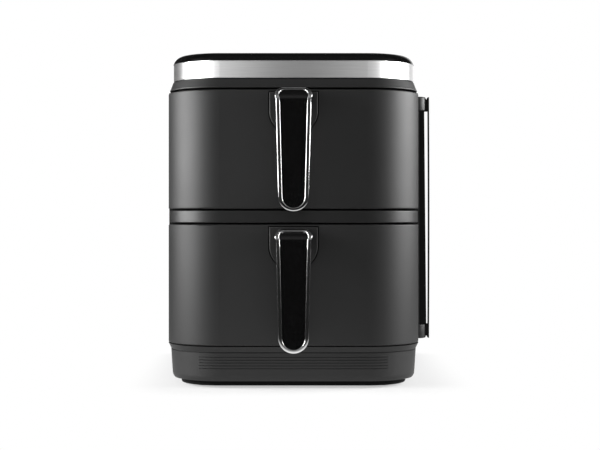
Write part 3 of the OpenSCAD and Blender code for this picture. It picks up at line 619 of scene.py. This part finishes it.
# %% [markdown]
# ## The handle seats
# Each handle grows out of a shield-shaped seat that stands in a shadow groove in the drawer's face. Its
# rim is rounded, so that a fine light line runs beside the groove. The shield is an outline drawn in by
# a growing inset while the depth grows less, which gives the same rounding as a bevel but with even
# quads.

# %% Build the handle seats
SEAT_R = 25 * MM
SEAT_EDGE = 1.1 * MM


def seat_outline(low, high, inset):
    """The shield's outline, drawn in by inset, as (x, z) points."""
    half = (high.x - low.x) / 2 - inset
    r = SEAT_R - inset
    right = arc((half - r, low.z + SEAT_R), r, 0, -90, steps=24)
    left = [(-x, z) for x, z in reversed(right)]
    return [(half, high.z - inset)] + right + left + [(-half, high.z - inset)]


for deck in ("upper", "lower"):
    low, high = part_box(deck + "_handle_root")
    rim = [(0, high.y)] + arc((SEAT_EDGE, low.y + SEAT_EDGE), SEAT_EDGE, 180, 270)
    rings = [[(middle_x + x, depth, z) for x, z in seat_outline(low, high, inset)]
             for inset, depth in rim]
    add_piece(deck + "_rounded_seat", *capped(rings, turned=True), housing_plastic, deck + "_drawer",
              "housing_plastic", [deck + "_handle_root"])

# %% [markdown]
# The groove round a seat holds a thin near-black strip as painted shade. It stands for the shadow deep
# in the groove, and that is why the groove reads as a fine black line. The strip is the same outline at
# two insets that lie outside the seat.

# %% Build the painted groove shadows
SHADOW_STRIP_INNER = -0.05 * MM
SHADOW_STRIP_OUTER = -1.15 * MM
SHADOW_STRIP_BACK = 0.05 * MM
SHADOW_STRIP_T = 0.5 * MM

# Each strip is painted shade: a near-black ribbon that stands for the shadow deep in the groove.
for deck in ("upper", "lower"):
    low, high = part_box(deck + "_handle_root")
    back = high.y - SHADOW_STRIP_BACK
    face = back - SHADOW_STRIP_T
    shadow_ribbon = [(SHADOW_STRIP_INNER, back), (SHADOW_STRIP_OUTER, back), (SHADOW_STRIP_OUTER, face), (SHADOW_STRIP_INNER, face)]
    rings = [[(middle_x + x, depth, z) for x, z in seat_outline(low, high, inset)]
             for inset, depth in shadow_ribbon]
    add_piece(deck + "_seat_seal", *skin(rings, closed_path=True), rough_plastic, deck + "_drawer",
              "rough_plastic")

# %% [markdown]
# ## The pressed baskets
# A real basket is one steel sheet pressed into a pan: its floor turns up into the walls in a large
# curve, and its rim turns out into a flange with a rounded edge. Plain solids can't show that softness.
# So the pan's section is written as insets and heights, and swept round a rounded rectangle. The flange
# stops at the drawer's back panel, which is why its points are held behind that plane.

# %% Build the baskets
SHEET = 1.2 * MM
FLANGE = 4 * MM
PAN_R = 22 * MM
FLOOR_R = 10 * MM
NECK_R = 1 * MM


def pan_outline(low, high, inset):
    """The pan's plan, drawn in by inset and cut off at the drawer's back panel, as (x, y) points."""
    half = (high.x - low.x) / 2 - FLANGE - inset
    r = PAN_R - inset
    x, front, back = half - r, low.y + inset + r, high.y - FLANGE - inset - r
    outline = []
    for start, centre in ((0, (x, back)), (90, (-x, back)), (180, (-x, front)), (270, (x, front))):
        outline += arc(centre, r, start, start + 90, steps=12)
    return [(x, max(y, low.y)) for x, y in outline]


for deck in ("upper", "lower"):
    low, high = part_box(deck + "_basket")
    tall = high.z - low.z
    lip = SHEET / 2
    under = tall - SHEET
    pan_section = arc((FLOOR_R, FLOOR_R), FLOOR_R, 270, 180)
    pan_section += [(0, under - NECK_R), (-0.3 * NECK_R, under - 0.3 * NECK_R), (-NECK_R, under)]
    pan_section += arc((lip - FLANGE, tall - lip), lip, 270, 90)
    pan_section += arc((-NECK_R, under - NECK_R), SHEET + NECK_R, 90, 0)
    pan_section += arc((FLOOR_R, FLOOR_R), FLOOR_R - SHEET, 180, 270)
    rings = [[(middle_x + x, y, low.z + z) for x, y in pan_outline(low, high, inset)]
             for inset, z in pan_section]
    add_piece(deck + "_pressed_basket", *capped(rings, turned=True), non_stick, deck + "_drawer",
              "non_stick", [deck + "_basket"], sharp=40)

# %% [markdown]
# ## The guard on the right side
# A slim strip stands off the outlet grille, held by two brackets. Like any thin moulding held at its
# ends, it bows a little between them. The solid strip is straight, so a bent one takes its place.

# %% Build the bowed strip
STRIP_T = 1.3 * MM
STRIP_EDGE = 0.35 * MM
STRIP_STEPS = 40
low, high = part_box("guard_strip")
rings = []
for k in range(STRIP_STEPS + 1):
    along = k / STRIP_STEPS
    x0 = low.x + (high.x - low.x - STRIP_T) * math.sin(math.pi * along)
    x1 = x0 + STRIP_T
    z = low.z + (high.z - low.z) * along
    rings.append([(x0, low.y, z), (x1 - STRIP_EDGE, low.y, z), (x1, low.y + STRIP_EDGE, z),
                  (x1, high.y - STRIP_EDGE, z), (x1 - STRIP_EDGE, high.y, z), (x0, high.y, z)])
add_piece("bowed_guard_strip", *capped(rings), rough_plastic, "housing", "rough_plastic", ["guard_strip"])

# %% [markdown]
# ## Rounded brackets
# A moulding never has knife edges, since the tool's corners are rounded so that the part comes out
# whole. The two brackets show that best. Each is a plan with a round nose, extruded, with a bevel
# modifier's work done in code.

# %% Build the brackets
SHARP_TURN = 0.6
NOSE_SHARE = 0.85
BRACKET_EDGE = 1.4 * MM


def bevelled(points, faces, width, steps=3):
    """Rounds every sharp edge of a closed shape."""
    shape = bmesh.new()
    made = [shape.verts.new(p) for p in points]
    for face in faces:
        shape.faces.new([made[k] for k in face])
    shape.normal_update()
    sharp = [e for e in shape.edges if len(e.link_faces) == 2 and e.calc_face_angle() > SHARP_TURN]
    bmesh.ops.bevel(shape, geom=sharp, offset=width, segments=steps, profile=0.5, affect="EDGES")
    shape.verts.index_update()
    result = [v.co.copy() for v in shape.verts], [tuple(v.index for v in f.verts) for f in shape.faces]
    shape.free()
    return result


for end in ("upper", "lower"):
    low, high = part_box(end + "_bracket")
    nose = (high.x - low.x) * NOSE_SHARE
    plan = [(low.x, low.y)] + arc((high.x - nose, low.y + nose), nose, -90, 0, steps=8)
    plan += arc((high.x - nose, high.y - nose), nose, 0, 90, steps=8) + [(low.x, high.y)]
    rings = [[(x, y, z) for x, y in plan] for z in (low.z, high.z)]
    points, faces = bevelled(*capped(rings), BRACKET_EDGE)
    add_piece(end + "_rounded_bracket", points, faces, housing_plastic, "housing", "housing_plastic",
              [end + "_bracket"], sharp=60)

# %% [markdown]
# ## The studio
# The room is white to the camera, yet it adds little light, so the case keeps its depth. Light Path
# tells the kinds of ray apart. What the object mirrors is set by direction alone: white far back on the
# right, dark behind and overhead, grey cards on both sides, brighter to the left, and a dark spot where
# the lens stands. Those are what give a flat metal band its long soft gradient.

# %% The room
AMBIENT = 0.15
CARDS = 0.37
LEFT_CARD = 1.15
RIGHT_CARD = 0.8
LENS_SIDE = 0.03
OVERHEAD = 0.10
BACK_WALL = 0.04

world = bpy.data.worlds.new("studio_room")
world.use_nodes = True
bpy.context.scene.world = world
room = Wire(world.node_tree)
seen = room.node("ShaderNodeLightPath", output="Is Camera Ray")
mirrored = room.node("ShaderNodeLightPath", output="Is Glossy Ray")
through = room.node("ShaderNodeLightPath", output="Is Transmission Ray")
direction = room.node("ShaderNodeTexCoord", output="Generated")
to_right = direction.part("X")
behind = direction.part("Y").rise(-0.25, 0.15)
right_back = to_right.rise(0.1, 0.3) * direction.part("Y").rise(0.75, 0.95)
overhead = direction.part("Z").rise(0.4, 0.85)
off_lens = direction.part("Y").rise(-0.994, -0.975)
side_cards = ((to_right * -1).rise(0.05, 0.5) * (LEFT_CARD - CARDS)
              + to_right.rise(0.1, 0.5) * (RIGHT_CARD - CARDS) + CARDS)
cards = off_lens * (side_cards - LENS_SIDE) + LENS_SIDE
ahead = cards + overhead * (OVERHEAD - cards)
glossy_room = ahead + behind * (right_back * (1 - BACK_WALL) + BACK_WALL - ahead)
bright = seen + (1 - seen) * ((mirrored + through) * glossy_room
                              + (1 - mirrored) * (1 - through) * AMBIENT)
background = world.node_tree.nodes["Background"]
background.inputs["Color"].default_value = grey(1)
world.node_tree.links.new(bright.socket, background.inputs["Strength"])
print("room ready")

# %% [markdown]
# The floor could be a large curved sheet, as in a real studio, but a flat square is enough when its edge
# melts into the room. It is plain diffuse white near the object, which keeps the soft shadow, and turns
# to pure white a few centimetres away from it. Anything glossy sees a floor of its own, which is bright
# at the foot of the case and dark further out.

# %% The floor
FLOOR_HALF = 6.0
CASE_HALF_D = 0.18
FLOOR_WHITE = 0.82
FLOOR_GLOW = 0.5
SHADOW_REACH = 0.06
MIRRORED_NEAR = 0.9
MIRRORED_FAR = 0.02

corners = [(x * FLOOR_HALF, y * FLOOR_HALF, 0) for x, y in ((-1, -1), (1, -1), (1, 1), (-1, 1))]
floor_mesh = bpy.data.meshes.new("studio_floor")
floor_mesh.from_pydata(corners, [], [(0, 1, 2, 3)])
studio_floor = bpy.data.objects.new("studio_floor", floor_mesh)
bpy.context.scene.collection.objects.link(studio_floor)
studio_floor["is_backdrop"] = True

floor_paint = bpy.data.materials.new("floor_paint")
floor_paint.use_nodes = True
floor_tree = floor_paint.node_tree
floor_tree.nodes.clear()
ground = Wire(floor_tree)
ground_place = ground.node("ShaderNodeTexCoord", output="Object")
away = ground_place.node("ShaderNodeVectorMath", {"operation": "LENGTH"}, {0: ground_place}, output=1)
folded = ground_place.node("ShaderNodeVectorMath", {"operation": "ABSOLUTE"}, {0: ground_place})
outside = ground.sum("MAXIMUM", folded - (case_w / 2, CASE_HALF_D, 0), 0.0)
beside_case = ground_place.node("ShaderNodeVectorMath", {"operation": "LENGTH"}, {0: outside}, output=1)
camera_ray = ground.node("ShaderNodeLightPath", output="Is Camera Ray")
mirror_ray = (ground.node("ShaderNodeLightPath", output="Is Glossy Ray")
              + ground.node("ShaderNodeLightPath", output="Is Transmission Ray"))
glow = camera_ray * (beside_case.rise(0.0, SHADOW_REACH) * (1 - FLOOR_GLOW) + FLOOR_GLOW)
sheen = MIRRORED_NEAR - away.rise(0.25, 0.6) * (MIRRORED_NEAR - MIRRORED_FAR)
matte = ground.node("ShaderNodeBsdfDiffuse", {}, {"Color": grey(FLOOR_WHITE)})
white = ground.node("ShaderNodeEmission", {}, {"Color": grey(1), "Strength": 1.0})
black = ground.node("ShaderNodeEmission", {}, {"Color": grey(0), "Strength": 1.0})
lit = ground.node("ShaderNodeMixShader", {}, {0: glow, 1: matte, 2: white})
mirrored_floor = ground.node("ShaderNodeMixShader", {}, {0: sheen, 1: black, 2: white})
mixed = ground.node("ShaderNodeMixShader", {}, {0: mirror_ray, 1: lit, 2: mirrored_floor})
output = floor_tree.nodes.new("ShaderNodeOutputMaterial")
floor_tree.links.new(mixed.socket, output.inputs["Surface"])
floor_mesh.materials.append(floor_paint)
print("floor ready,", 2 * FLOOR_HALF, "m across")

# %% [markdown]
# A wide soft box stands on either side. A rounded corner gathers a wide angle of the room into a
# narrow strip, so each box shows as one bright upright band near the case's edge and as one bright line
# on each side of the plated frames. A third, weaker box hangs overhead. It lights the top but isn't
# mirrored, so that the gloss cap stays black. Light linking keeps the two side boxes off the polished
# top, where a box would show as a white patch that melts into the white room.

# %% Soft boxes
def soft_box(name, place, aim, wide, tall, power):
    """A rectangular lamp at place that faces aim."""
    data = bpy.data.lights.new(name, "AREA")
    data.shape = "RECTANGLE"
    data.size, data.size_y = wide, tall
    data.energy = power
    lamp = bpy.data.objects.new(name, data)
    lamp.location = place
    lamp.rotation_euler = (Vector(aim) - Vector(place)).to_track_quat("-Z", "Y").to_euler()
    bpy.context.scene.collection.objects.link(lamp)
    return lamp


heart = Vector((middle_x, front_y + 0.05, case_h / 2))


def beside(azimuth, distance, height):
    """A place round the heart. Azimuth 0 is in front of it, and a positive one is to its right."""
    turn = math.radians(azimuth)
    return heart + Vector((distance * math.sin(turn), -distance * math.cos(turn), height))


left_box = soft_box("left_box", beside(-77, 0.90, 0.20), heart + Vector((0, 0, 0.06)),
                    wide=0.76, tall=0.40, power=15.5)
right_box = soft_box("right_box", beside(91, 1.00, 0.27), heart + Vector((0, 0, 0.08)),
                     wide=0.86, tall=0.40, power=17.5)
top_box = soft_box("top_box", heart + Vector((0, 0.1, 1.3)), heart, wide=1.2, tall=1.0, power=2)
top_box.visible_glossy = False

polished_top = bpy.data.collections.new("polished_top")
for node in ("top_cap", "control_glass"):
    polished_top.objects.link(frame["nodes"][node])
for side_box in (left_box, right_box):
    side_box.light_linking.receiver_collection = polished_top
for link in polished_top.collection_objects:
    link.light_linking.link_state = "EXCLUDE"
print("three soft boxes")

# %% [markdown]
# ## The look of the whole
# The Standard view shows a colour as it is written. The last cell prints the size of the dressed model,
# to set beside the size of the construction printed at the start. The last cell notes the size of the
# dressed model beside the size of the construction, which it must not outgrow, and closes the frame.

# %% Finish
bpy.context.scene.view_settings.view_transform = "Standard"
low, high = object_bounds()
print("dressed model in mm:", [round(v / MM, 1) for v in high - low])
